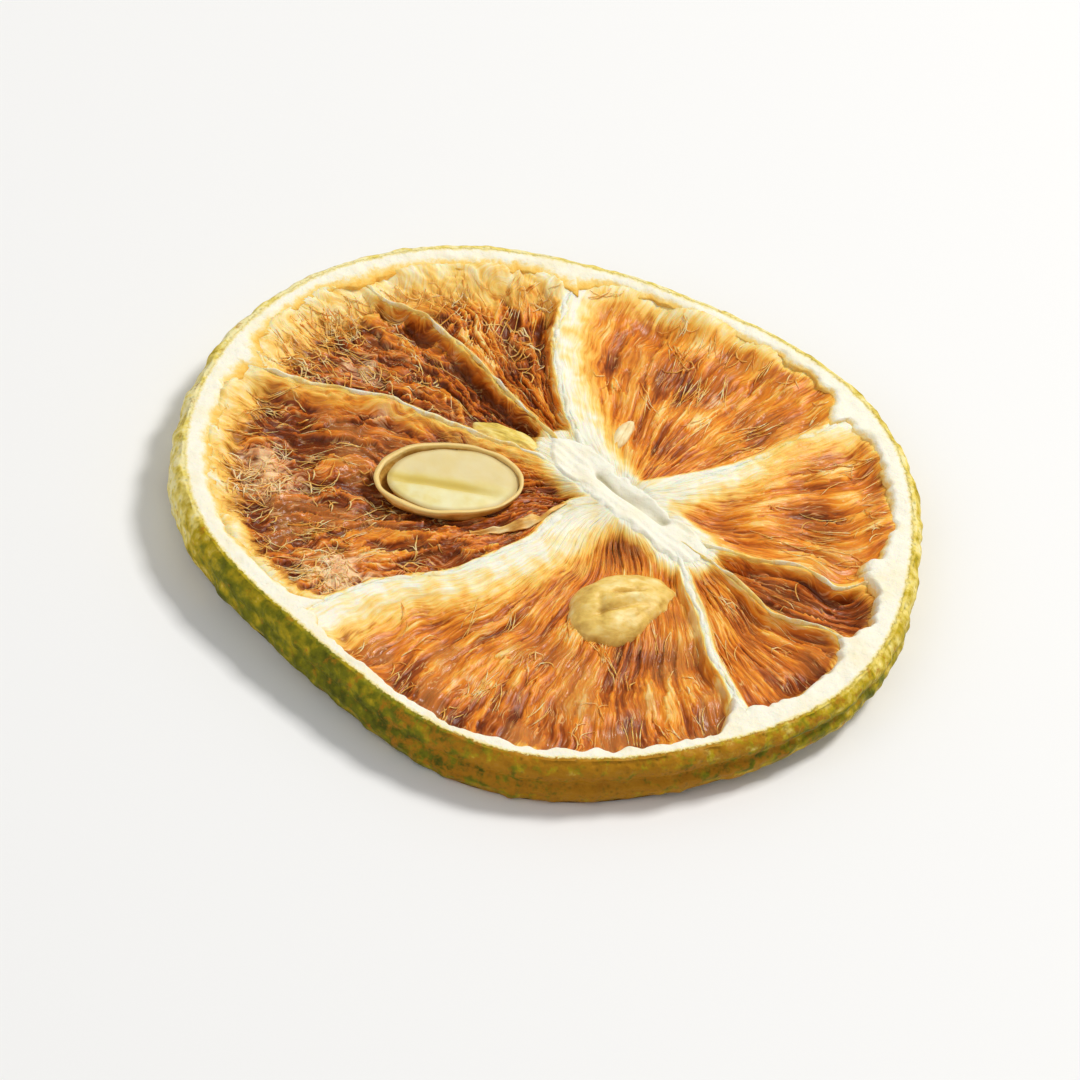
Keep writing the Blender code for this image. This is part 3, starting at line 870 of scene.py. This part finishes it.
def makeWall(index):
    item = walls[index]
    mesh, (px, py, pz) = plainBall("wall_" + item["name"], wallForm["around"], wallForm["along"])
    along = np.arccos(np.clip(-pz, -1, 1)) / np.pi
    turn = np.arctan2(py, px)
    edge = byBearing(pithEdge, crestBearing(index, pithWay))
    startWay = item["route"][0][0] - wallForm["overCore"]
    way = startWay + (edge + wallForm["intoPith"] * (1 - edge) - startWay) * along
    bearing = crestBearing(index, way)
    radius = way * reach(bearing)
    x, y = fromCore(radius, bearing)
    ends = np.clip(np.sin(np.pi * along) * 6, 0, 1)
    half = item["crest"] * wallForm["thin"] * (1 + 0.35 * lumps(x, y, 1.8, 70.0 + index)) * ends
    sideways = half * np.cos(turn) + wallForm["wave"] * lumps(x, y, 1.4, 80.0 + index)
    x = x - sideways * np.sin(bearing)
    y = y + sideways * np.cos(bearing)
    edgeRise = np.sign(np.sin(turn)) * np.abs(np.sin(turn)) ** 0.35
    proud = np.interp(item["bleach"], (0.6, 1), wallForm["proud"])
    topLine = faceHeight(x, y) - sliceForm["crestDrop"] + proud + 0.10 * lumps(x, y, 1.1, 75.0 + index)
    topLine = topLine - wallForm["startDrop"] * (1 - smoothStep(along, 0, 0.14))
    underLine = curlLift(x, y) + sliceForm["underCrest"] + 0.05 * lumps(x, y, 1.1, 76.0 + index)
    z = (topLine + underLine) / 2 + (topLine - underLine) / 2 * edgeRise * (0.5 + 0.5 * ends)
    fillMesh(mesh, x, y, z)
    tint = 0.3 * (1 - np.abs(edgeRise)) + 0.15 * lumps(x, y, 2.0, 77.0)
    addValues(mesh, "tint", tint + 0.7 * (1 - item["bleach"]) + 1.2 * (item["bleach"] - wallWhite(item, way)))
    return finishPiece("wall_" + item["name"], mesh, pithMaterial, "pith", "lemon_slice")


def makeCore():
    mesh, along, across, upper = plainSlab("core", 130, 60)
    u = 2 * along - 1
    v = 2 * across - 1
    roundU = u * np.sqrt(1 - v * v / 2)
    roundV = v * np.sqrt(1 - u * u / 2)
    first, last = np.array(coreForm["ends"])
    length = np.hypot(*(last - first)) / 2 + coreForm["halfWidth"] + 0.5
    halfWidth = coreForm["halfWidth"] + 1.1
    direction = (last - first) / np.hypot(*(last - first))
    centre = (first + last) / 2 + np.array(sliceForm["core"])
    x = centre[0] + direction[0] * roundU * length - direction[1] * roundV * halfWidth
    y = centre[1] + direction[1] * roundU * length + direction[0] * roundV * halfWidth
    jag = 1 + 0.05 * lumps(x, y, 2.5, 50.0)
    x = centre[0] + (x - centre[0]) * jag
    y = centre[1] + (y - centre[1]) * jag
    away = np.hypot(roundU, roundV)

    # its sides slope down faster than the pulp's flanks do, so it runs into them near its top
    ragged = 0.30 * lumps(x, y, 1.3, 52.0) + 0.15 * lumps(x, y, 0.6, 53.0)
    fromMiddle = lineDistance(x, y, coreForm["ends"]) + ragged
    rise = slope(fromMiddle, coreForm["halfWidth"] - 0.3, coreForm["flank"])
    streaks = lumps(roundU * length * 0.2, roundV * halfWidth, 0.5, 51.0)
    crest = sliceForm["crestDrop"] + 0.02 + 0.08 * lumps(x, y, 2.0, 5.0) + coreForm["streak"] * streaks
    drop = crest + (coreForm["sideDepth"] - crest) * (1 - rise) + 0.35 * smoothStep(away, 0.85, 1.0)
    hollow = coreHollow(x, y)
    top = faceHeight(x, y) - drop - hollow
    under = curlLift(x, y) + sliceForm["underCrest"] + 0.6 * smoothStep(away, 0.7, 1.0)
    fillMesh(mesh, x, y, np.where(upper, top, under))
    addValues(mesh, "tint", 0.10 * smoothStep(away, 0.85, 1.0) + 0.06 * streaks)
    # how deep the hollow is, which sets its painted shade
    addValues(mesh, "hollow", hollow / coreForm["hollowDepth"] * (0.8 + 0.4 * streaks))
    return finishPiece("core", mesh, pithMaterial, "pith", "lemon_slice")


for index in range(len(walls)):
    makeWall(index)
makeCore()
print("core and walls made")

# Strands that dried loose: they lie on the pulp in small tufts or arch out of it, thin tubes of four sides.
# Each group has so many tufts of so many strands, and weights that share the tufts among the segments.
strandValues = ("tufts", "each", "spread", "length", "width", "bend", "lift", "seed", "weights")
strandRows = {
    "strands_radial": (80, 4, 0.35, (1.4, 4.0), (0.06, 0.11), 0.08, 0.05, 11,
     (0.8, 1.2, 0.6, 0.5, 1.3, 1.0, 0.4, 0.1)),
    "strands_tangled": (95, 3, 0.6, (0.9, 2.4), (0.07, 0.14), 0.34, 0.15, 12,
     (0.2, 0.3, 1.4, 1.4, 1.5, 0.4, 0.1, 0.1)),
    "strands_fringe": (75, 4, 0.45, (0.8, 2.4), (0.06, 0.12), 0.20, 0.08, 13,
     (0.6, 1.4, 2.2, 2.2, 2.0, 0.8, 0.3, 0.2)),
    "strands_froth": (30, 4, 0.35, (0.8, 2.4), (0.08, 0.15), 0.40, 0.12, 14, None),
}
frothSpots = 2  # the froth's strands grow on the first of its places
strandTaper = (0.5, 0.9, 1, 1, 0.8, 0.35)
strandPoints = len(strandTaper)
strandMargin = {"edge": 0.012, "crest": 0.35}  # share of the way to the rim, and millimetres


def surfaceTree(pieces):
    graph = bpy.context.evaluated_depsgraph_get()
    return [BVHTree.FromObject(piece, graph) for piece in pieces]


def surfaceHeight(trees, x, y):
    # in millimetres, of the highest of these surfaces
    heights = []
    for tree in trees:
        hit = tree.ray_cast(Vector((x, y, 20)) * mm, Vector((0, 0, -1)))[0]
        if hit is not None:
            heights.append(hit.z / mm)
    return max(heights, default=None)


def isOnPulp(x, y):
    # short of the pith and beside the walls' crests
    x = x - sliceForm["core"][0]
    y = y - sliceForm["core"][1]
    radius = math.hypot(x, y)
    bearing = math.atan2(y, x)
    way = radius / reach(bearing)
    if way > byBearing(pithEdge, bearing) - strandMargin["edge"]:
        return False
    crests = np.array([crestBearing(index, way) for index in range(len(walls))])
    turns = (crests - bearing + np.pi) % (2 * np.pi) - np.pi
    return radius * np.abs(turns).min() > strandMargin["crest"]


def tuftStart(name, spec, draw):
    # where a tuft grows and which way it runs
    if spec["weights"] is None:
        x, y, size = froth[int(draw.integers(frothSpots))][:3]
        return x + draw.normal(0, 0.4 * size), y + draw.normal(0, 0.4 * size), draw.uniform(0, 2 * math.pi)
    # in the segments none grows on a pale flank
    weights = np.array(spec["weights"])
    index = int(draw.choice(len(segments), p=weights / weights.sum()))
    before = ahead = 0
    while before < walls[index]["flanks"][1] or ahead < walls[(index + 1) % len(walls)]["flanks"][0]:
        across = draw.uniform(0, 1)
        edge = pulpWay(index, np.array([across]))[1][0]
        if name == "strands_fringe":
            way = edge - 0.04 - draw.uniform(0.0, 0.03) * segments[index]["fringe"][0]
        else:
            way = edge * draw.uniform(0.35, 1.0) ** 0.6
        start = crestBearing(index, way)
        end = crestBearing(index + 1, way)
        bearing = start * (1 - across) + end * across
        radius = way * reach(bearing)
        before = across * radius * (end - start)
        ahead = (1 - across) * radius * (end - start)
    x, y = fromCore(radius, bearing)
    loose = segments[index]["tangle"] * (1.4 if name == "strands_tangled" else 0.45)
    return x, y, bearing + math.pi + draw.normal(0, 0.10 + loose)


def strandRoute(spec, x, y, heading, trees, draw):
    length = draw.uniform(*spec["length"])
    width = draw.uniform(*spec["width"]) / 2
    lift = abs(draw.normal(0, spec["lift"]))
    bend = draw.normal(0, spec["bend"])
    points = []
    for step in range(strandPoints):
        height = surfaceHeight(trees, x, y)
        if height is None or not isOnPulp(x, y):
            return [], width
        arch = math.sin(math.pi * step / (strandPoints - 1))
        points.append((x, y, height + width * 0.4 + lift * arch))
        x += math.cos(heading) * length / (strandPoints - 1)
        y += math.sin(heading) * length / (strandPoints - 1)
        heading += bend + draw.normal(0, spec["bend"] * 0.5)
    return points, width


def makeStrands(name, spec, trees):
    draw = np.random.default_rng(spec["seed"])
    data = bpy.data.curves.new(name, "CURVE")
    data.dimensions = "3D"
    data.bevel_depth = mm
    data.bevel_resolution = 0
    data.use_fill_caps = True
    for _ in range(spec["tufts"]):
        tuftX, tuftY, heading = tuftStart(name, spec, draw)
        for _ in range(spec["each"]):
            x = tuftX + draw.normal(0, spec["spread"])
            y = tuftY + draw.normal(0, spec["spread"])
            turn = heading + draw.normal(0, 0.12)
            points, width = strandRoute(spec, x, y, turn, trees, draw)
            if not points:
                continue
            spline = data.splines.new("POLY")
            spline.points.add(strandPoints - 1)
            spline.points.foreach_set("co", [value * mm for point in points for value in (*point, 0)])
            spline.points.foreach_set("radius", [width * taper for taper in strandTaper])
    curve = bpy.data.objects.new(name, data)
    bpy.context.scene.collection.objects.link(curve)
    bpy.context.view_layer.update()
    mesh = bpy.data.meshes.new_from_object(curve.evaluated_get(bpy.context.evaluated_depsgraph_get()))
    bpy.data.objects.remove(curve)
    cage = bmesh.new()
    cage.from_mesh(mesh)
    bmesh.ops.remove_doubles(cage, verts=cage.verts, dist=1e-7)
    cage.to_mesh(mesh)
    cage.free()
    finishPiece(name, mesh, strandMaterial if spec["weights"] else frothMaterial, "pulp", "lemon_slice")


bpy.context.view_layer.update()
sliceTrees = surfaceTree(pulpPieces + [ring])
for name, row in strandRows.items():
    makeStrands(name, dict(zip(strandValues, row)), sliceTrees)
print("strands laid")

# Seeds
seeds = {
    "cut": {"at": (-7.4, 0.6, 3.85), "size": (10.8, 7.2, 4.6), "turn": 18, "wall": 0.22},
    "kernel": {"size": (9.7, 6.5, 2.8), "shift": 0.28, "crown": 0.10, "crease": 0.32, "lower": 0.15},
    "whole": {
        "at": (6.5, -8.3, 2.8),
        "size": (8.8, 6.4, 3.4),
        "turn": 50,
        "foldTurn": -48,
        "dents": ((-72, 24, 0.24), (-18, 16, -0.12), (75, 30, 0.08)),
    },
    "flat": {"at": (-3.9, 6.7, 3.25), "size": (5.6, 1.9, 1.1), "turn": -14, "lumps": 0.15, "fold": 0.12},
    "chip": {"at": (4.2, 9.5, 3.4), "size": (3.5, 1.15, 0.8), "turn": 74, "lumps": 0.06, "fold": 0.08},
}
seedLooks = {  # three colours from dark to light, how rough, and the grain's size, stretch and turn
    "seed_coat": ((0.34, 0.14, 0.015), (0.66, 0.36, 0.06), (0.90, 0.62, 0.22), 0.5, 0.4, 4, 18),
    "whole_seed": ((0.50, 0.27, 0.030), (0.84, 0.57, 0.130), (0.93, 0.76, 0.34), 0.5, 0.5, 2.5, 10),
    "flat_seed": ((0.40, 0.26, 0.030), (0.84, 0.62, 0.110), (0.95, 0.84, 0.36), 0.4, 0.3, 5, -14),
    "seed_chip": ((0.72, 0.46, 0.16), (0.92, 0.74, 0.40), (0.96, 0.88, 0.64), 0.5, 0.3, 4, 76),
    "husk_flake": ((0.50, 0.16, 0.015), (0.86, 0.44, 0.08), (0.96, 0.74, 0.34), 0.5, 0.3, 5, 44),
}


def placeSeed(x, y, z, spec):
    turn = math.radians(spec["turn"])
    return (
        spec["at"][0] + x * math.cos(turn) - y * math.sin(turn),
        spec["at"][1] + x * math.sin(turn) + y * math.cos(turn),
        spec["at"][2] + z,
    )


def makeSeedMaterial(name):
    dark, middle, light, rough, grainSize, stretchBy, turn = seedLooks[name]
    material, tree, shader = startMaterial(name)
    turned = makeNode("Mapping", Vector=objectPlace(tree), Rotation=(0, 0, math.radians(-turn)))
    grain = stretch(turned.outputs["Vector"], (1 / stretchBy, 1, 1))
    streaks = noiseNode(grain, grainSize, 4, 0.6, 0.3)
    cloud = noiseNode(objectPlace(tree), 1.8, 3, 0.55)
    value = mathNode("MULTIPLY_ADD", cloud, 0.6, mathNode("MULTIPLY", streaks, 0.4))
    # darker where 'crease' lies: painted shade low in the coat's bowl and in the whole seed's pits and
    # grooves; lighter where 'lip' lies: along the coat's rim, and painted light on the whole seed's raised
    # fold
    value = mathNode("SUBTRACT", value, mathNode("MULTIPLY", attributeNode(tree, "crease"), 0.25))
    value = mathNode("ADD", value, mathNode("MULTIPLY", attributeNode(tree, "lip"), 0.3))
    colour = rampNode(value, (0.32, dark), (0.5, middle), (0.66, light))
    finishMaterial(shader, colour, rough, 0.5, (0.2, (1.0, 0.75, 0.4), 0.8), bumpNode(streaks, 0.5, 0.12))
    return material


def makeCoat():
    # an open bowl with a wall, its rim a little uneven
    spec = seeds["cut"]
    cage = bmesh.new()
    bmesh.ops.create_uvsphere(cage, u_segments=160, v_segments=80, radius=1)
    bmesh.ops.delete(cage, geom=[vertex for vertex in cage.verts if vertex.co.z > 0.01], context="VERTS")
    bmesh.ops.solidify(cage, geom=cage.faces[:], thickness=0.01)
    mesh = meshFrom(cage, "seed_coat")
    x, y, z = readPoints(mesh)
    outer = np.sqrt(x * x + y * y + z * z)
    isInner = outer < 0.995
    x, y, z = x / outer, y / outer, z / outer
    wrinkle = lumps(x, y, 0.35, 3.0, z)
    half = np.array(spec["size"]) / 2
    thickness = spec["wall"] * (1 + 0.25 * lumps(x, y, 0.5, 9.0, z))
    grow = np.where(isInner, -thickness, 0.0) + 0.05 * wrinkle
    rim = smoothStep(z, -0.35, 0.0)
    rimLift = 0.16 * lumps(x, y, 0.6, 5.0, z) * rim + 0.1 * rim
    # the outer skin has split a little from the inner one at the rim, most at the left end
    split = np.where(isInner, 0.0, (0.05 + 0.10 * np.clip(-x, 0, 1)) * rim)
    sx = x * (half[0] + grow + split)
    sy = y * (half[1] + grow + split)
    sz = z * (half[2] + grow) + rimLift
    fillMesh(mesh, *placeSeed(sx, sy, sz, spec))
    # lighter towards the rim, and darker down the bowl: painted shade where it sinks into the slice
    addValues(mesh, "lip", smoothStep(z, -0.16, -0.02))
    addValues(mesh, "crease", smoothStep(-z, 0.30, 0.75))
    return mesh


finishPiece("seed_coat_cut", makeCoat(), makeSeedMaterial("seed_coat"), "seed_coat", "cut_seed_coat")


def makeKernel():
    spec = seeds["kernel"]
    mesh, (x, y, z) = plainBall("kernel", 140, 80)
    half = np.array(spec["size"]) / 2
    blunt = 1 - 0.10 * smoothStep(-x, 0.6, 1.0)
    sx = x * half[0]
    sy = y * half[1] * blunt
    sz = z * half[2]
    # the halves meet in a crease that fades towards the right end
    fromCrease = sy + 0.85 + 0.26 * sx
    fade = 1 - smoothStep(sx, 0.5, 4.2)
    crease = bell(fromCrease, 0.35) * np.clip(sz, 0, 1) * (0.25 + 0.75 * fade)
    dish = 0.12 * bell(fromCrease - 1.4, 1.2) * np.clip(sz, 0, 1)
    crown = sz * spec["crown"] * 2 - spec["crease"] * crease - dish + 0.05 * lumps(sx, sy, 1.6, 14.0)
    sz = np.where(sz > 0, crown, sz) - spec["lower"]
    fillMesh(mesh, *placeSeed(sx + spec["shift"], sy, sz, seeds["cut"]))
    band = bell(fromCrease - 0.25, 0.65) * (0.30 + 0.70 * fade)
    addValues(mesh, "crease", band * (z > 0))
    addValues(mesh, "upper", smoothStep(fromCrease, 0.2, 1.4) * (z > 0))
    addValues(mesh, "edge", smoothStep(np.hypot(x, y), 0.88, 1.0))
    return mesh


def makeKernelMaterial():
    material, tree, shader = startMaterial("seed_kernel")
    place = objectPlace(tree)
    cloud = noiseNode(place, 1.6, 3, 0.5)
    colour = rampNode(cloud, (0.35, (0.80, 0.68, 0.28)), (0.65, (0.86, 0.80, 0.48)))
    colour = mixNode(remap(attributeNode(tree, "upper"), 0, 1, 0, 0.65), colour, (0.74, 0.58, 0.28))
    colour = mixNode(remap(attributeNode(tree, "crease"), 0, 1, 0, 0.9), colour, (0.68, 0.50, 0.09))
    colour = mixNode(remap(attributeNode(tree, "edge"), 0, 1, 0, 0.6), colour, (0.42, 0.27, 0.07))
    normal = bumpNode(noiseNode(place, 0.5, 3), 0.3, 0.05)
    finishMaterial(shader, colour, 0.42, 0.3, (0.3, (1.0, 0.8, 0.5), 0.6), normal)
    return material


finishPiece("seed_kernel_cut", makeKernel(), makeKernelMaterial(), "seed_kernel", "cut_seed_kernel")


def makeWrinkledSeed(name, around, rings):
    spec = seeds[name]
    fold = spec["fold"]
    mesh, (x, y, z) = plainBall(name, around, rings)
    half = np.array(spec["size"]) / 2
    base = lumps(2.4 * x, 3.4 * y, 1, spec["size"][0], 1.7 * z) / 2
    fine = lumps(x * half[0], y * half[1] * 2.2, 1.3, 4.0, z * half[2])
    grow = base * spec["lumps"] + fold * 0.35 * fine + fold * 0.15 * lumps(x, y * 2.5, 0.22, 8.0, z)
    groove = fold * bell(y - 0.25 * x, 0.16) * (z > 0) * np.clip(z, 0, 1)
    grow = grow - 0.9 * groove
    fillMesh(mesh, *placeSeed(x * (half[0] + grow), y * (half[1] + grow), z * (half[2] + grow), spec))
    return mesh


def makeWholeSeed():
    # a full lobe on the left, a slimmer one on the right, and a folded crease where they meet
    spec = seeds["whole"]
    mesh, (x, y, z) = plainBall("whole", 170, 100)
    half = np.array(spec["size"]) / 2
    angle = np.degrees(np.arctan2(y, x))
    out = np.hypot(x, y)
    outline = 1 + 0.05 * lumps(x, y, 0.5, 41.0) * out
    for bearing, spread, depth in spec["dents"]:
        away = np.abs((angle - bearing + 180) % 360 - 180)
        outline = outline - depth * bell(away, spread) * out**1.5
    above = np.clip(z, 0, 1)
    # the folds run across the seed's length
    turn = math.radians(spec["foldTurn"])
    a = x * math.cos(turn) + y * math.sin(turn)
    b = y * math.cos(turn) - x * math.sin(turn)
    pit = 0.50 * bell(b - 0.18 - 0.2 * a, 0.09) * bell(a - 0.02, 0.28)
    fold = 0.32 * bell(b + 0.06 - 0.35 * a, 0.12) * bell(a - 0.15, 0.50)
    groove = 0.34 * bell(b + 0.30 - 0.40 * a, 0.08) * bell(a + 0.05, 0.45)
    side = 0.20 * bell(a + 0.42 + 0.3 * b, 0.07) * bell(b + 0.25, 0.4)
    wrinkle = 0.10 * lumps(x * half[0], y * half[1] * 1.6, 1.5, 4.0, z * half[2])
    fine = 0.03 * lumps(x, y * 1.8, 0.16, 8.0, z)
    height = 1 + 0.12 * bell(x + 0.4, 0.45) - 0.10 * np.clip(x, 0, 1)
    sx = x * half[0] * outline + x * wrinkle
    sy = y * half[1] * outline + y * wrinkle
    sz = z * half[2] * height + above * (fold - pit - groove - side + wrinkle + fine)
    fillMesh(mesh, *placeSeed(sx, sy, sz, spec))
    # painted shade in its pits and grooves, and painted light on its raised fold
    addValues(mesh, "crease", 1.6 * above * (pit + groove + 0.8 * side))
    addValues(mesh, "lip", 1.5 * above * fold)
    return mesh


finishPiece("seed_whole", makeWholeSeed(), makeSeedMaterial("whole_seed"), "whole_seed", "whole_seed")
flat = makeWrinkledSeed("flat", 90, 40)
finishPiece("seed_flat", flat, makeSeedMaterial("flat_seed"), "whole_seed", "flat_seed")
chip = makeWrinkledSeed("chip", 60, 30)
finishPiece("seed_chip_pale", chip, makeSeedMaterial("seed_chip"), "seed_kernel", "seed_chip")

# a sliver of husk that lies under the cut seed
flakeForm = {
    "route": ((-5.2, -3.9), (-3.6, -3.0), (-1.9, -2.1), (-0.2, -0.9), (1.3, 0.8)),
    "width": 0.85,
    "thickness": 0.08,
    "fold": 0.38,
    "lift": 0.12,
}


def makeFlake():
    mesh, along, across, upper = plainSlab("husk_flake", 60, 12)
    routeX, routeY = np.array(flakeForm["route"]).T
    knots = np.linspace(0, 1, len(routeX))
    x = np.interp(along, knots, routeX)
    y = np.interp(along, knots, routeY)
    side = (2 * across - 1) * flakeForm["width"] / 2 * np.sin(np.pi * np.clip(along, 0.02, 0.98)) ** 0.7
    side = side * (1 + 0.3 * lumps(x, y, 1.2, 97.0))
    heading = math.atan2(routeY[-1] - routeY[0], routeX[-1] - routeX[0])
    x = x - side * math.sin(heading)
    y = y + side * math.cos(heading)
    under = np.array([surfaceHeight(sliceTrees, a, b) for a, b in zip(x.tolist(), y.tolist())])
    under = np.convolve(np.pad(under, 3, mode="edge"), np.ones(7) / 7, mode="valid")
    ridge = flakeForm["fold"] * bell(2 * across - 1, 0.5) * np.sin(np.pi * along)
    z = under + flakeForm["lift"] + ridge + 0.10 * lumps(x, y, 0.7, 98.0)
    z = z + np.where(upper, flakeForm["thickness"], 0)
    fillMesh(mesh, x, y, z)
    return mesh


finishPiece("husk_flake", makeFlake(), makeSeedMaterial("husk_flake"), "pith", "lemon_slice")
print("seeds made")


# Stage
def makeStage():
    cage = bmesh.new()
    bmesh.ops.create_grid(cage, x_segments=1, y_segments=1, size=1.2)
    floor = bpy.data.objects.new("floor", meshFrom(cage, "floor"))
    bpy.context.scene.collection.objects.link(floor)
    material, _, shader = startMaterial("pale_floor")
    plug((0.86, 0.86, 0.86), shader.inputs["Base Color"])
    plug(0.55, shader.inputs["Roughness"])
    floor.data.materials.append(material)


def addLight(name, place, aim, size, power, colour=(1, 1, 1)):
    data = bpy.data.lights.new(name, "AREA")
    data.size = size
    data.energy = power
    data.color = colour
    light = bpy.data.objects.new(name, data)
    light.location = place
    light.rotation_euler = (Vector(aim) - Vector(place)).to_track_quat("-Z", "Y").to_euler()
    bpy.context.scene.collection.objects.link(light)


makeStage()
addLight("key", (0.33, 0.30, 0.60), (0, 0, 0), 0.18, 4.05, (1, 0.98, 0.94))
addLight("fill", (-0.30, -0.36, 0.45), (0, 0, 0), 0.50, 0.85)
world = bpy.data.worlds.new("studio")
bpy.context.scene.world = world
world.use_nodes = True
world.node_tree.nodes["Background"].inputs["Color"].default_value = (0.98, 0.985, 0.985, 1)
world.node_tree.nodes["Background"].inputs["Strength"].default_value = 0.41
bpy.context.scene.view_settings.view_transform = "Standard"
